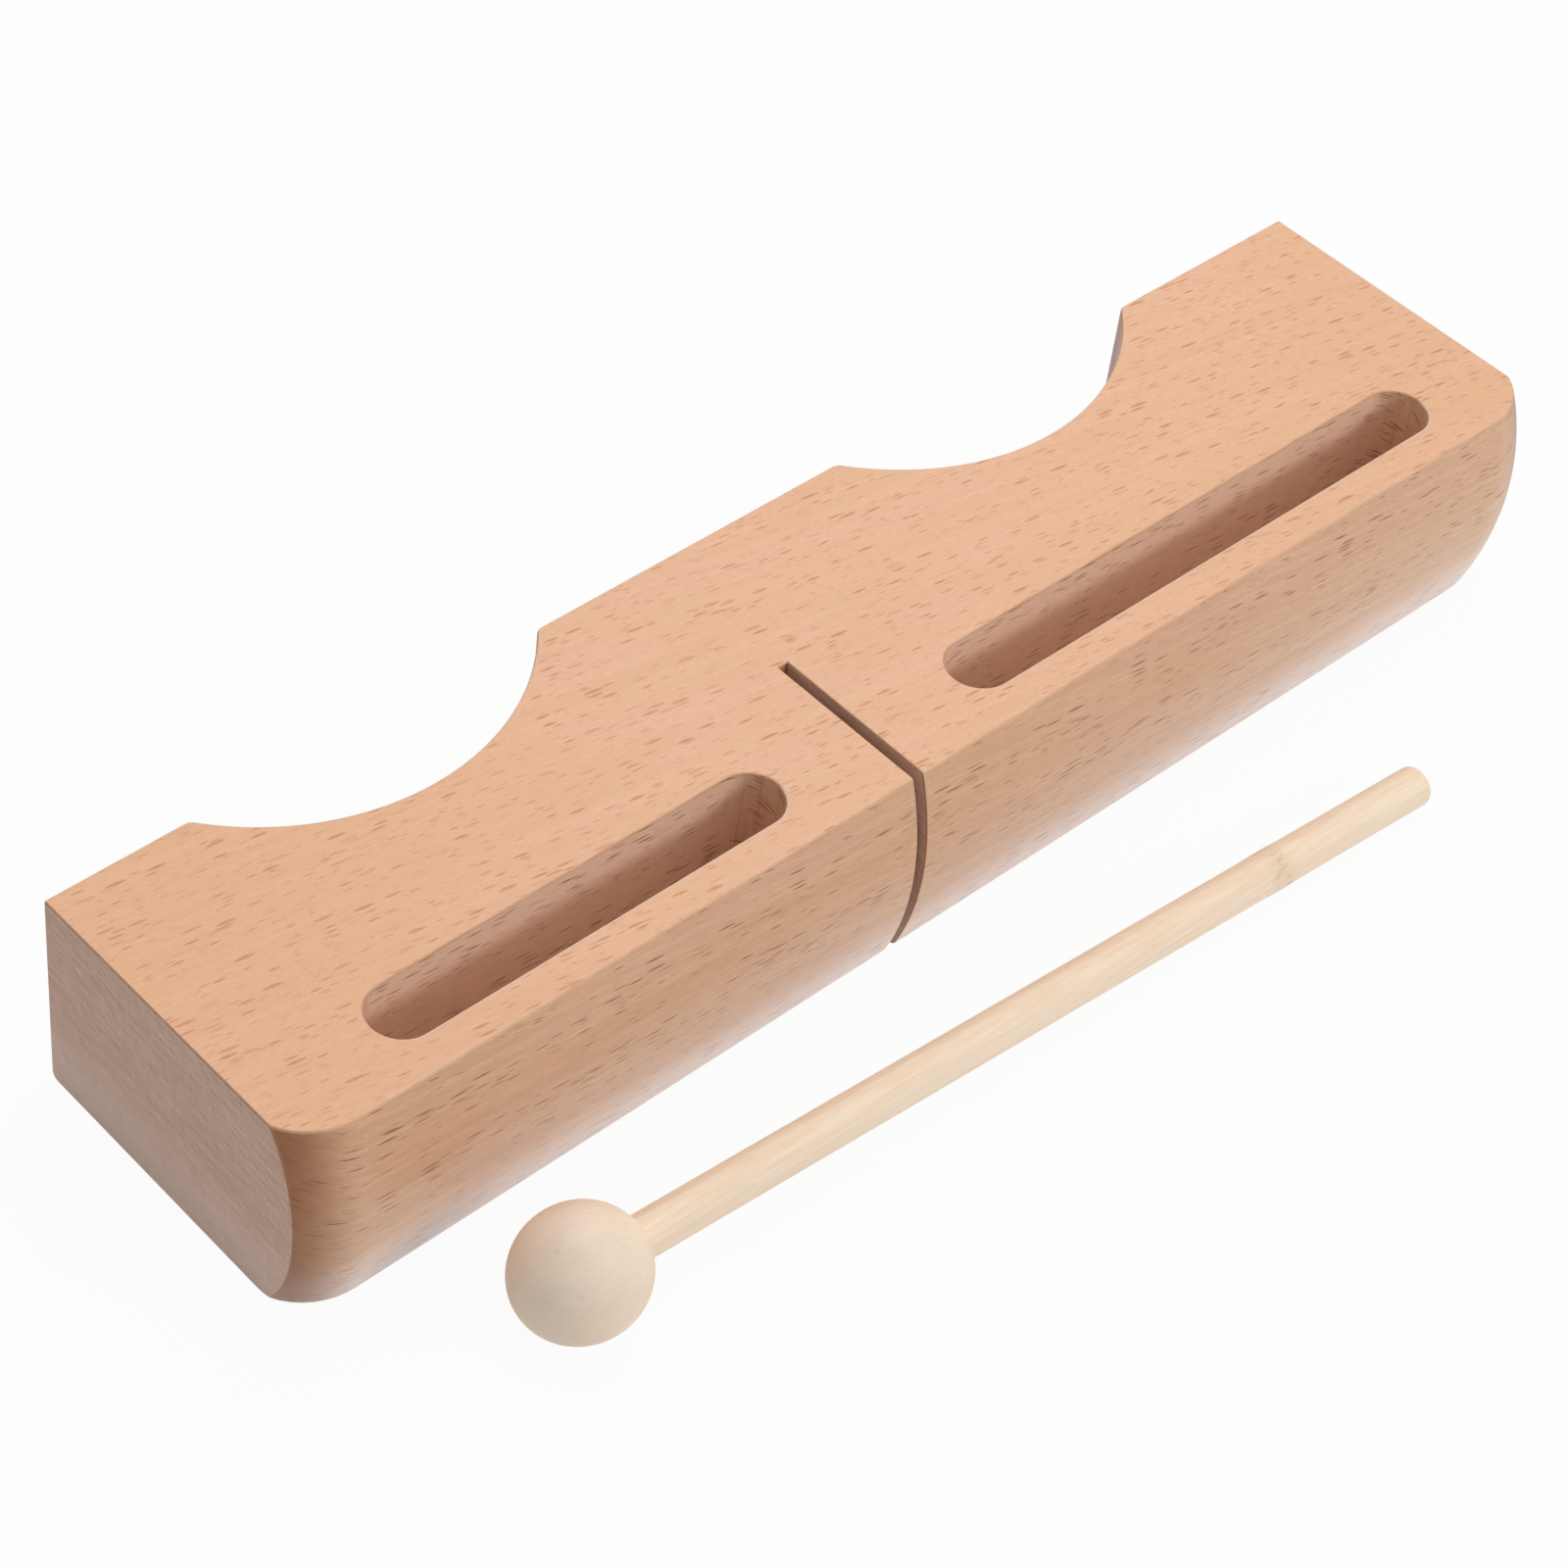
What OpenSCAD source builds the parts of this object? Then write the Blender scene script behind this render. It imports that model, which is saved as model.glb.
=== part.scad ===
// Wood block with two slots of unequal length, a saw kerf between them,
// two finger scoops in the back edge and a ball-headed mallet lying in front.
// Origin: middle of the block's base. +X is its length, -Y its bellied front.

/* [Block] */
// Length of the block between its end faces
block_len = 250; // [230:1:300]
// Depth of the flat top, from the back face to the front's top edge
block_depth = 55.8; // [50:0.5:70]
// Height of the block
block_h = 37; // [30:0.5:45]

/* [Bellied front] */
// How far the front swells past its top edge at half height
belly = 3.3; // [1:0.1:6]
// Plan radius of the front corners, at the top edge
corner_r = 11.5; // [8:0.5:15]
// How much of each corner's arc the end cut takes off
corner_trim = 1.3; // [0.5:0.1:4]
// Rounding where the front and the back meet the base
foot_r = 1.5; // [0.5:0.1:3]

/* [Slots] */
// Width of both slots
slot_w = 10.4; // [6:0.1:14]
// Wood left between a slot and the front's top edge
slot_wall = 5.9; // [4:0.1:10]
// Wood left under the slots
slot_floor = 7; // [4:0.5:12]
// Wood between the short slot and the left end face
short_end_land = 21; // [12:0.5:30]
// Wood between the short slot and the kerf
short_kerf_land = 16.3; // [10:0.1:25]
// Wood between the kerf and the long slot
long_kerf_land = 17.3; // [10:0.1:25]
// Wood between the long slot and the right end face
long_end_land = 16.6; // [12:0.1:30]

/* [Kerf] */
// Width of the saw cut that parts the two front walls
kerf_w = 1.7; // [1:0.1:3]
// Length of the saw cut, from the front's top edge inward
kerf_len = 28.4; // [22:0.1:34]
// How far the cut lies left of the block's middle
kerf_off = 13.35; // [0:0.05:30]

/* [Finger scoops] */
// Width of a scoop along the back edge
scoop_w = 63.4; // [50:0.5:70]
// Depth of a scoop into the block
scoop_depth = 15; // [8:0.5:20]
// How far each scoop sits left of the slot it stands behind
scoop_off = 1.5; // [0:0.1:3]
// Rounding of a scoop's two lips
lip_r = 2; // [0.5:0.1:4]

/* [Mallet head] */
// Diameter of the turned ball, across the stick
head_d = 19.5; // [16:0.1:26]
// Length of the ball, along the stick
head_len = 20.7; // [18:0.1:28]
// Depth of the blind bore for the stick
bore_depth = 13; // [8:0.5:15]

/* [Mallet stick] */
// Diameter of the stick
stick_d = 6.6; // [5:0.1:8]
// Full length of the stick, with the part in the ball
stick_len = 170.6; // [140:0.1:200]
// Rounding of the stick's free end
tip_r = 1; // [0.3:0.1:2]
// Glue gap round the stick in its bore
glue_gap = 0.05; // [0.02:0.01:0.2]

/* [Mallet place] */
// How far the ball's middle lies left of the block's middle
mallet_left = 93.9; // [60:0.1:110]
// How far the ball's middle lies in front of the front's top edge
mallet_front = 22.1; // [18:0.1:60]
// Angle by which the stick swings out from the block's length
mallet_swing = 2; // [0:0.05:10]

/* [Hidden] */
$fn = 96;

// Overrun of every cut past the face it leaves through
over = 1;
// How far a small rounding reaches past the large arc that it runs into, so that the two cross
bite = 0.01;

// Faces and heights of the block
back_y = block_depth / 2;
front_y = -block_depth / 2;
mid_z = block_h / 2;

// The kerf's two walls, and each slot as [left end, right end] between its lands
kerf_left = -kerf_off - kerf_w / 2;
kerf_right = kerf_left + kerf_w;
short_slot = [-block_len / 2 + short_end_land, kerf_left - short_kerf_land];
long_slot = [kerf_right + long_kerf_land, block_len / 2 - long_end_land];
slot_y = front_y + slot_wall + slot_w / 2;

// Radius of the round belly, from the block's height and the swell
belly_r = (mid_z * mid_z + belly * belly) / (2 * belly);
// Upright axis that each front corner turns about
corner_x = block_len / 2 - corner_r + corner_trim;
corner_y = front_y + corner_r;
// In the front's section: reach of the belly, its arc's centre and the foot's centre
reach = corner_r + belly;
belly_c = [reach - belly_r, mid_z];
foot_gap = belly_r - foot_r + bite;
foot_c = [belly_c.x + sqrt(pow(foot_gap, 2) - pow(mid_z - foot_r, 2)), foot_r];
// A point outside the belly, on the line through both centres
foot_far = belly_c + (foot_c - belly_c) * (belly_r + over) / foot_gap;

// Arc of a scoop, from its width and its depth
scoop_r = (scoop_w * scoop_w / 4 + scoop_depth * scoop_depth) / (2 * scoop_depth);
scoop_c = [0, back_y - scoop_depth + scoop_r];
// A lip's rounding touches the back face and runs into the scoop's arc
lip_y = back_y - lip_r;
lip_gap = scoop_r + lip_r - bite;
lip_c = [sqrt(pow(lip_gap, 2) - pow(scoop_c.y - lip_y, 2)), lip_y];

// Mallet's own frame: the ball's middle is its origin, the stick runs along its +Z
bore_z = head_len / 2 - bore_depth;
tip_z = bore_z + stick_len;
// Tilt at which ball and tip both touch the floor
tip_reach = [tip_z - tip_r, stick_d / 2 - tip_r];
rest_tilt = asin((head_d / 2 - tip_r) / norm(tip_reach)) - atan2(tip_reach.y, tip_reach.x);
// Step between the points that draw the ball's oval
oval_step = 3;

function middle(ends) = (ends[0] + ends[1]) / 2;

// Waste outside the foot's rounding
module foot_waste() {
    difference() {
        polygon([foot_c, [foot_c.x, -over], [foot_far.x, -over], foot_far]);
        translate(foot_c)
            circle(r = foot_r);
    }
}

// Section of the front: x outward from a corner's axis, y up
module front_section() {
    difference() {
        intersection() {
            square([reach + over, block_h]);
            translate(belly_c)
                circle(r = belly_r, $fn = 360);
        }
        foot_waste();
    }
}

// The front between the two corners' axes
module straight_front() {
    translate([corner_x, corner_y, 0])
        rotate([90, 0, -90])
            linear_extrude(2 * corner_x)
                front_section();
}

// A front corner: the same section turned a quarter about its axis
module corner(side_x, start) {
    translate([side_x, corner_y, 0])
        rotate([0, 0, start])
            rotate_extrude(angle = 90, $fn = 180)
                front_section();
}

// Section of the wood behind the bellied front: x toward the back, y up
module back_section() {
    difference() {
        translate([corner_y, 0])
            square([back_y - corner_y, block_h]);
        difference() {
            translate([back_y - foot_r, -over])
                square(foot_r + over);
            translate([back_y - foot_r, foot_r])
                circle(r = foot_r);
        }
    }
}

// The wood behind the bellied front, from one end face to the other
module blank() {
    translate([-block_len / 2, 0, 0])
        rotate([90, 0, 90])
            linear_extrude(block_len)
                back_section();
}

// Room between the two end faces, which cuts through the rounded corners
module end_cuts() {
    translate([-block_len / 2, front_y - belly - over, -over])
        cube([block_len, block_depth + belly + 2 * over, block_h + 2 * over]);
}

// A slot as a round cutter leaves it: two half-rounds and the run between them
module slot(ends) {
    run = ends[1] - ends[0] - slot_w;
    translate([ends[0] + slot_w / 2, slot_y, slot_floor])
        linear_extrude(block_h - slot_floor + over)
            union() {
                for (x = [0, run])
                    translate([x, 0])
                        circle(d = slot_w);
                translate([0, -slot_w / 2])
                    square([run, slot_w]);
            }
}

// The saw cut, through the whole height
module kerf() {
    translate([kerf_left, front_y - belly - over, -over])
        cube([kerf_w, kerf_len + belly + over, block_h + 2 * over]);
}

// Waste outside the rounding of a scoop's right lip
module lip_waste() {
    difference() {
        polygon([lip_c, [lip_c.x, back_y + over], scoop_c]);
        translate(lip_c)
            circle(r = lip_r);
    }
}

// A finger scoop, through the whole height
module scoop(middle_x) {
    translate([middle_x, 0, -over])
        linear_extrude(block_h + 2 * over)
            union() {
                translate(scoop_c)
                    circle(r = scoop_r, $fn = 360);
                lip_waste();
                mirror([1, 0])
                    lip_waste();
            }
}

module block() {
    color([0.85, 0.64, 0.47])
        difference() {
            intersection() {
                union() {
                    blank();
                    straight_front();
                    corner(corner_x, -90);
                    corner(-corner_x, 180);
                }
                end_cuts();
            }
            for (ends = [short_slot, long_slot]) {
                slot(ends);
                scoop(middle(ends) - scoop_off);
            }
            kerf();
        }
}

// Lays a piece of the mallet in front of the block, on its ball and its tip
module laid() {
    translate([-mallet_left, front_y - mallet_front, head_d / 2])
        rotate([0, 90 + rest_tilt, -mallet_swing])
            children();
}

// Turned ball, a little longer than it is wide, with a blind bore
module mallet_head() {
    oval = [for (a = [0 : oval_step : 180]) [head_d / 2 * sin(a), head_len / 2 * cos(a)]];
    color([0.90, 0.81, 0.69])
        laid()
            difference() {
                rotate_extrude()
                    polygon(oval);
                translate([0, 0, bore_z])
                    cylinder(d = stick_d + 2 * glue_gap, h = bore_depth + over);
            }
}

// Half section of the stick, with its free end rounded
module stick_section() {
    square([stick_d / 2, stick_len - tip_r]);
    square([stick_d / 2 - tip_r, stick_len]);
    translate([stick_d / 2 - tip_r, stick_len - tip_r])
        circle(r = tip_r);
}

module mallet_stick() {
    color([0.93, 0.84, 0.69])
        laid()
            translate([0, 0, bore_z])
                rotate_extrude()
                    stick_section();
}

block();
mallet_head();
mallet_stick();
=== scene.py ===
# %% [markdown]
# # A two-note wood block and its mallet
#
# The object is a bar of beech, 250 mm long, with two milled slots, a saw cut between them and two finger
# scoops in its back edge. A small mallet, a turned ball on a thin stick, lies in front of it.
#
# The three pieces are already drawn as exact solids. They are loaded here as a fixed frame: it says where
# each piece is and how it moves. The pieces that are seen, with softened edges and real wood, are then built
# in the same places.

import math

import bmesh
import bpy
from mathutils import Matrix, Vector


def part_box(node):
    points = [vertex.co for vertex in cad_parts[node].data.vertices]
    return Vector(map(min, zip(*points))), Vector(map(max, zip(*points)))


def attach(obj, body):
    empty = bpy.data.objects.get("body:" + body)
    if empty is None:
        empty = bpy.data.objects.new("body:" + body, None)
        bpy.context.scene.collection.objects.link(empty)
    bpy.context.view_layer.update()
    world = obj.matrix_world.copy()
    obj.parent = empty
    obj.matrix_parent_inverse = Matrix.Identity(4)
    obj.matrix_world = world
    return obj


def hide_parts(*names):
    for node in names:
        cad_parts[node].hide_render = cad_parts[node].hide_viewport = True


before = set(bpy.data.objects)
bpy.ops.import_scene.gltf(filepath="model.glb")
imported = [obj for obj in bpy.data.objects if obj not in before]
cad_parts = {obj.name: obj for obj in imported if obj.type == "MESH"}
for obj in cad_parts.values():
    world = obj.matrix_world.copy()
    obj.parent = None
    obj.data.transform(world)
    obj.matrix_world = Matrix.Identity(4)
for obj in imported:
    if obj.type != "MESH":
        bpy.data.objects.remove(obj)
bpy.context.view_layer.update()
block_low, block_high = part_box("block")
print("block from", tuple(round(c, 4) for c in block_low), "to", tuple(round(c, 4) for c in block_high))

# %% [markdown]
# ## The photographer's camera
#
# The block's long edges, its end edges and its upright edges each run to a vanishing point. Those three
# points fix a camera's turn, and the block's own sizes fix its distance. The view is from the front left,
# looking down at about 45 degrees. The three lines below are the picture's right, its down and its depth, as
# directions of the room. A camera's own axes are its right, its up and its back, so down and depth change
# sign.

# %% Place the camera
PICTURE = 1600
SENSOR = 36.0
FOCAL_PIXELS = 4093.94
picture_right = Vector((0.7536939, -0.6541687, 0.0633155))
picture_down = Vector((-0.4337408, -0.5674709, -0.6998898))
picture_depth = Vector((0.4937757, 0.5000402, -0.7114390))
picture_middle = (600.0, 765.0)
camera_place = Vector((-0.3286760, -0.2802201, 0.4422448))

camera_data = bpy.data.cameras.new("photo_camera")
camera_data.sensor_width = SENSOR
camera_data.lens = FOCAL_PIXELS * SENSOR / PICTURE
camera_data.shift_x = 0.5 - picture_middle[0] / PICTURE
camera_data.shift_y = picture_middle[1] / PICTURE - 0.5
camera = bpy.data.objects.new("photo_camera", camera_data)
turn = Matrix((picture_right, -picture_down, -picture_depth)).transposed()
camera.matrix_world = Matrix.Translation(camera_place) @ turn.to_4x4()
bpy.context.scene.collection.objects.link(camera)
bpy.context.scene.camera = camera
print("lens %.1f mm" % camera_data.lens)

# %% [markdown]
# ## Helpers that draw
#
# Everything is drawn in millimetres, as on a workshop drawing, and turned into metres at the very end. A
# line is drawn by extruding a point, and an arc by spinning a point about a centre. That keeps true arcs
# where the maker's router and sander leave arcs.

# %% Units, directions and how near counts as touching
MM = 0.001
ALONG = Vector((1, 0, 0))
TO_FRONT = Vector((0, -1, 0))
UP = Vector((0, 0, 1))
SAME = 1e-4
CLOSE = 1e-3

# %% Draw lines and arcs


def only(kind, things):
    """Picks the points, the edges or the faces out of what an operator gives back."""
    return [t for t in things if isinstance(t, kind)]


def line_to(bm, point, x, y, z):
    """Draws a straight edge from a point and gives its far end."""
    made = bmesh.ops.extrude_vert_indiv(bm, verts=[point])["verts"][0]
    made.co = (x, y, z)
    return made


def arc_from(bm, point, centre, axis, degrees, steps):
    """Draws an arc from a point and gives its far end."""
    made = bmesh.ops.spin(bm, geom=[point], cent=centre, axis=axis, angle=math.radians(degrees), steps=steps)
    return only(bmesh.types.BMVert, made["geom_last"])[0]


def join(bm, start, end):
    """Draws the edge between two points that are already there."""
    bmesh.ops.contextual_create(bm, geom=[start, end])


# %% Sweep edges into faces and close them


def spin_edges(bm, edges, centre, degrees, steps, whole=False):
    """Sweeps edges round an upright axis."""
    angle = math.radians(degrees)
    bmesh.ops.spin(bm, geom=edges, cent=centre, axis=UP, angle=angle, steps=steps, use_merge=whole)


def pull_edges(bm, edges, vector):
    """Extrudes edges straight along a vector and gives the new row of edges."""
    made = bmesh.ops.extrude_edge_only(bm, edges=edges)["geom"]
    bmesh.ops.translate(bm, verts=only(bmesh.types.BMVert, made), vec=vector)
    return only(bmesh.types.BMEdge, made)


def cap(bm, is_on_face):
    """Fills the flat face whose whole rim satisfies a test."""
    rim = [e for e in bm.edges if all(is_on_face(v.co) for v in e.verts)]
    bmesh.ops.edgeloop_fill(bm, edges=rim)


def nearest(bm, x, y, z):
    """The point nearest to a place."""
    place = Vector((x, y, z))
    return min(bm.verts, key=lambda v: (v.co - place).length)


def add_piece(bm, name):
    """Turns a finished bmesh into an object in the scene."""
    bmesh.ops.recalc_face_normals(bm, faces=bm.faces)
    mesh = bpy.data.meshes.new(name)
    bm.to_mesh(mesh)
    bm.free()
    made = bpy.data.objects.new(name, mesh)
    bpy.context.scene.collection.objects.link(made)
    return made


# %% [markdown]
# ## The blank with its bellied front
#
# The front swells 3.3 mm past its top edge and runs round both front corners. On the real block a shaped
# cutter follows the edge, so every upright slice of the front has the same profile. The same can be done
# here: draw the profile once, sweep it straight along the front, and spin it about an upright axis at each
# corner.
#
# The end faces are sawn last, through the round corners. Sawing a swept corner would leave thin slivers of
# face along the cut. Each ring of the corner is instead turned just so far that it ends on the saw's plane.

# %% Sizes of the blank
LENGTH, DEPTH, HEIGHT = 250.0, 55.8, 37.0
BELLY, CORNER, TRIM, FOOT = 3.3, 11.5, 1.3, 1.5
END, BACK, MIDDLE = LENGTH / 2, DEPTH / 2, HEIGHT / 2
FRONT = -BACK
REACH = CORNER + BELLY
CORNER_X = END - CORNER + TRIM
CORNER_Y = FRONT + CORNER
BELLY_R = (MIDDLE**2 + BELLY**2) / (2 * BELLY)
belly_out = REACH - BELLY_R
foot_out = belly_out + math.sqrt((BELLY_R - FOOT) ** 2 - (MIDDLE - FOOT) ** 2)
print("belly radius %.2f mm, corner axis at x %.1f" % (BELLY_R, CORNER_X))

# %% Draw the front's profile and sweep it
BELLY_STEPS, FOOT_STEPS, CORNER_STEPS = 28, 5, 8
blank = bmesh.new()
top_point = blank.verts.new((CORNER_X, FRONT, HEIGHT))
top_angle = math.degrees(math.asin(MIDDLE / BELLY_R))
foot_angle = math.degrees(math.asin((MIDDLE - FOOT) / (BELLY_R - FOOT)))
belly_centre = (CORNER_X, CORNER_Y - belly_out, MIDDLE)
foot_centre = (CORNER_X, CORNER_Y - foot_out, FOOT)
foot_point = arc_from(blank, top_point, belly_centre, ALONG, top_angle + foot_angle, BELLY_STEPS)
arc_from(blank, foot_point, foot_centre, ALONG, 90 - foot_angle, FOOT_STEPS)
profile = list(blank.edges)
left_profile = pull_edges(blank, profile, (-2 * CORNER_X, 0, 0))
spin_edges(blank, profile, (CORNER_X, CORNER_Y, 0), 90, CORNER_STEPS)
spin_edges(blank, left_profile, (-CORNER_X, CORNER_Y, 0), -90, CORNER_STEPS)
bmesh.ops.remove_doubles(blank, verts=blank.verts, dist=SAME)
print("front skin:", len(blank.faces), "faces")

# %% Turn each ring of the corners back until it ends on the saw's plane
for v in blank.verts:
    side = math.copysign(1, v.co.x)
    across = abs(v.co.x) - CORNER_X
    if across > CLOSE:
        out = math.hypot(across, v.co.y - CORNER_Y)
        share = math.atan2(across, CORNER_Y - v.co.y) / (math.pi / 2)
        angle = share * math.asin((END - CORNER_X) / out)
        v.co.x = side * (CORNER_X + out * math.sin(angle))
        v.co.y = CORNER_Y - out * math.cos(angle)
print("the skin ends at x %.1f" % max(v.co.x for v in blank.verts))

# %% [markdown]
# ## The back, with its two finger scoops
#
# Each scoop is one wide arc, cut by a drum sander, with its two lips rounded over. It stands behind a slot, a
# little to the left of the slot's middle, so the places of the slots and of the saw cut are worked out first.
# The outline is drawn on the top face and pulled straight down to the base. The four flat faces then close
# the blank.

# %% Places of the slots, the saw cut and the scoops
SLOT_W, SLOT_WALL, SLOT_FLOOR = 10.4, 5.9, 7.0
KERF_W, KERF_LENGTH, KERF_MIDDLE = 1.7, 28.4, -13.35
OUTER_LANDS, INNER_LANDS = (21.0, 16.6), (16.3, 17.3)
SCOOP_W, SCOOP_DEPTH, SCOOP_SHIFT, LIP = 63.4, 15.0, 1.5, 2.0
KERF = (KERF_MIDDLE - KERF_W / 2, KERF_MIDDLE + KERF_W / 2)
KERF_BACK = FRONT + KERF_LENGTH
SLOT_Y = FRONT + SLOT_WALL + SLOT_W / 2
SHORT_SLOT = (-END + OUTER_LANDS[0], KERF[0] - INNER_LANDS[0])
LONG_SLOT = (KERF[1] + INNER_LANDS[1], END - OUTER_LANDS[1])
SCOOP_R = (SCOOP_W**2 / 4 + SCOOP_DEPTH**2) / (2 * SCOOP_DEPTH)
scoop_middles = [sum(slot) / 2 - SCOOP_SHIFT for slot in (SHORT_SLOT, LONG_SLOT)]
scoop_y = BACK - SCOOP_DEPTH + SCOOP_R
lip_out = math.sqrt((SCOOP_R + LIP) ** 2 - (scoop_y - BACK + LIP) ** 2)
lip_turn = math.degrees(math.atan2(lip_out, scoop_y - BACK + LIP))
print("scoops at x %.2f and %.2f, radius %.1f mm" % (*scoop_middles, SCOOP_R))

# %% Draw the back's outline
LIP_STEPS, SCOOP_STEPS = 9, 72
old_edges = set(blank.edges)
pen = blank.verts.new((-END, BACK, HEIGHT))
for middle in scoop_middles:
    pen = line_to(blank, pen, middle - lip_out, BACK, HEIGHT)
    pen = arc_from(blank, pen, (middle - lip_out, BACK - LIP, HEIGHT), UP, -lip_turn, LIP_STEPS)
    pen = arc_from(blank, pen, (middle, scoop_y, HEIGHT), UP, 2 * lip_turn, SCOOP_STEPS)
    pen = arc_from(blank, pen, (middle + lip_out, BACK - LIP, HEIGHT), UP, -lip_turn, LIP_STEPS)
line_to(blank, pen, END, BACK, HEIGHT)
back_outline = [e for e in blank.edges if e not in old_edges]
pull_edges(blank, back_outline, (0, 0, -HEIGHT))
print("the back's outline has", len(back_outline), "edges")

# %% Close the blank
for side in (-1, 1):
    for z in (0, HEIGHT):
        back_corner = nearest(blank, side * END, BACK, z)
        front_corner = nearest(blank, side * END, CORNER_Y, z)
        join(blank, front_corner, back_corner)
    cap(blank, lambda co: abs(co.x - side * END) < CLOSE)
cap(blank, lambda co: abs(co.z - HEIGHT) < CLOSE)
cap(blank, lambda co: abs(co.z) < CLOSE)
print("closed blank:", len(blank.faces), "faces, open edges:", sum(not e.is_manifold for e in blank.edges))

# %% [markdown]
# ## The foot, the slots and the saw cut
#
# The base is rounded along its back edge as it is along the front. The slots are milled with a round cutter,
# so their ends are half-rounds, and they stop 7 mm above the base. The thin saw cut between them goes right
# through. Here the cutters are solids too, and they are taken away from the blank. The blank is first split
# along the slots' middle line, so that no flat face gets a hole in it: such a face is hard to shade well.

# %% Draw the cutters
OVER = 5.0
SLOT_STEPS = 36


def fill_and_raise(bm, vector, name):
    """Fills a closed outline and pulls it into a solid."""
    bmesh.ops.edgeloop_fill(bm, edges=bm.edges)
    raised = bmesh.ops.extrude_face_region(bm, geom=bm.faces[:])["geom"]
    bmesh.ops.translate(bm, verts=only(bmesh.types.BMVert, raised), vec=vector)
    return add_piece(bm, name)


def foot_cutter():
    """The long bar of waste outside the rounding of the base's back edge."""
    bm = bmesh.new()
    x = -END - OVER
    first = bm.verts.new((x, BACK - FOOT, -OVER))
    pen = line_to(bm, first, x, BACK - FOOT, 0)
    pen = arc_from(bm, pen, (x, BACK - FOOT, FOOT), ALONG, 90, FOOT_STEPS)
    pen = line_to(bm, pen, x, BACK + OVER, FOOT)
    pen = line_to(bm, pen, x, BACK + OVER, -OVER)
    join(bm, pen, first)
    return fill_and_raise(bm, (LENGTH + 2 * OVER, 0, 0), "foot_cutter")


def slot_cutter(start, end):
    """The solid that a round cutter sweeps from one end of a slot to the other."""
    bm = bmesh.new()
    radius = SLOT_W / 2
    first = bm.verts.new((start + radius, SLOT_Y + radius, SLOT_FLOOR))
    pen = arc_from(bm, first, (start + radius, SLOT_Y, SLOT_FLOOR), UP, 180, SLOT_STEPS)
    pen = line_to(bm, pen, end - radius, SLOT_Y - radius, SLOT_FLOOR)
    pen = arc_from(bm, pen, (end - radius, SLOT_Y, SLOT_FLOOR), UP, 180, SLOT_STEPS)
    join(bm, pen, first)
    return fill_and_raise(bm, (0, 0, HEIGHT - SLOT_FLOOR + OVER), "slot_cutter")


def saw_cutter():
    """The thin slab that the saw turns to dust."""
    bm = bmesh.new()
    bmesh.ops.create_cube(bm, size=1)
    deep = KERF_LENGTH + BELLY + OVER
    bmesh.ops.scale(bm, verts=bm.verts, vec=(KERF_W, deep, HEIGHT + 2 * OVER))
    bmesh.ops.translate(bm, verts=bm.verts, vec=(KERF_MIDDLE, KERF_BACK - deep / 2, MIDDLE))
    return add_piece(bm, "saw_cutter")


# %% Round the foot, mill the slots and saw the cut
def take_away(piece, cutter):
    """Cuts one solid out of another and removes the cutter."""
    cut = piece.modifiers.new("cut", "BOOLEAN")
    cut.operation = "DIFFERENCE"
    cut.solver = "EXACT"
    cut.object = cutter
    shaped = piece.evaluated_get(bpy.context.evaluated_depsgraph_get())
    before = piece.data
    piece.modifiers.clear()
    piece.data = bpy.data.meshes.new_from_object(shaped)
    bpy.data.meshes.remove(before)
    bpy.data.objects.remove(cutter)


whole_blank = blank.verts[:] + blank.edges[:] + blank.faces[:]
bmesh.ops.bisect_plane(blank, geom=whole_blank, plane_co=(0, SLOT_Y, 0), plane_no=(0, 1, 0))
block = add_piece(blank, "beech_block")
for cutter in (foot_cutter(), slot_cutter(*SHORT_SLOT), slot_cutter(*LONG_SLOT), saw_cutter()):
    take_away(block, cutter)
print("milled block:", len(block.data.polygons), "faces")

# %% [markdown]
# ## Soft edges
#
# No edge of a sanded block is razor sharp. A third of a millimetre is taken off each edge that turns by more
# than 20 degrees. The bevel operator gives its new faces back, so they can be marked: the wood's finish reads
# the mark later and lets those edges look rubbed. Where a scoop's lip runs into the rounded foot, three
# roundings would meet in less than their own width and fold over each other, so that spot is left as it is.
# The cutting also leaves a few points closer together than a crumb of wood. They are merged first, because a
# bevel folds on such short edges. The faces of the slots get a mark of their own, and a weighted-normal
# modifier keeps the big flats flat.

# %% Sand the edges and mark them
ARRIS, ARRIS_STEPS = 0.35, 3
SHARP_TURN = 20
CRUMB = 0.02
NEAR = 1.0
FACES_UP = 0.97


def on_lip_foot(edge):
    """True where a scoop's lip runs into the rounded foot: a spot too tight for the sander."""
    spot = (edge.verts[0].co + edge.verts[1].co) / 2
    return spot.y > BACK - FOOT - NEAR and spot.z < FOOT + CRUMB and abs(spot.x) < END - NEAR


def sand_edges(bm):
    """Rounds the sharp edges, marks the new faces and counts the edges."""
    mark = bm.faces.layers.float.new("arris")
    sharp = [e for e in bm.edges if e.calc_face_angle(0) > math.radians(SHARP_TURN) and not on_lip_foot(e)]
    made = bmesh.ops.bevel(
        bm,
        geom=sharp,
        offset=ARRIS,
        offset_type="OFFSET",
        affect="EDGES",
        segments=ARRIS_STEPS,
        profile=0.5,
        material=-1,
        clamp_overlap=False,
    )
    for face in made["faces"]:
        face[mark] = 1.0
    return len(sharp)


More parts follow.
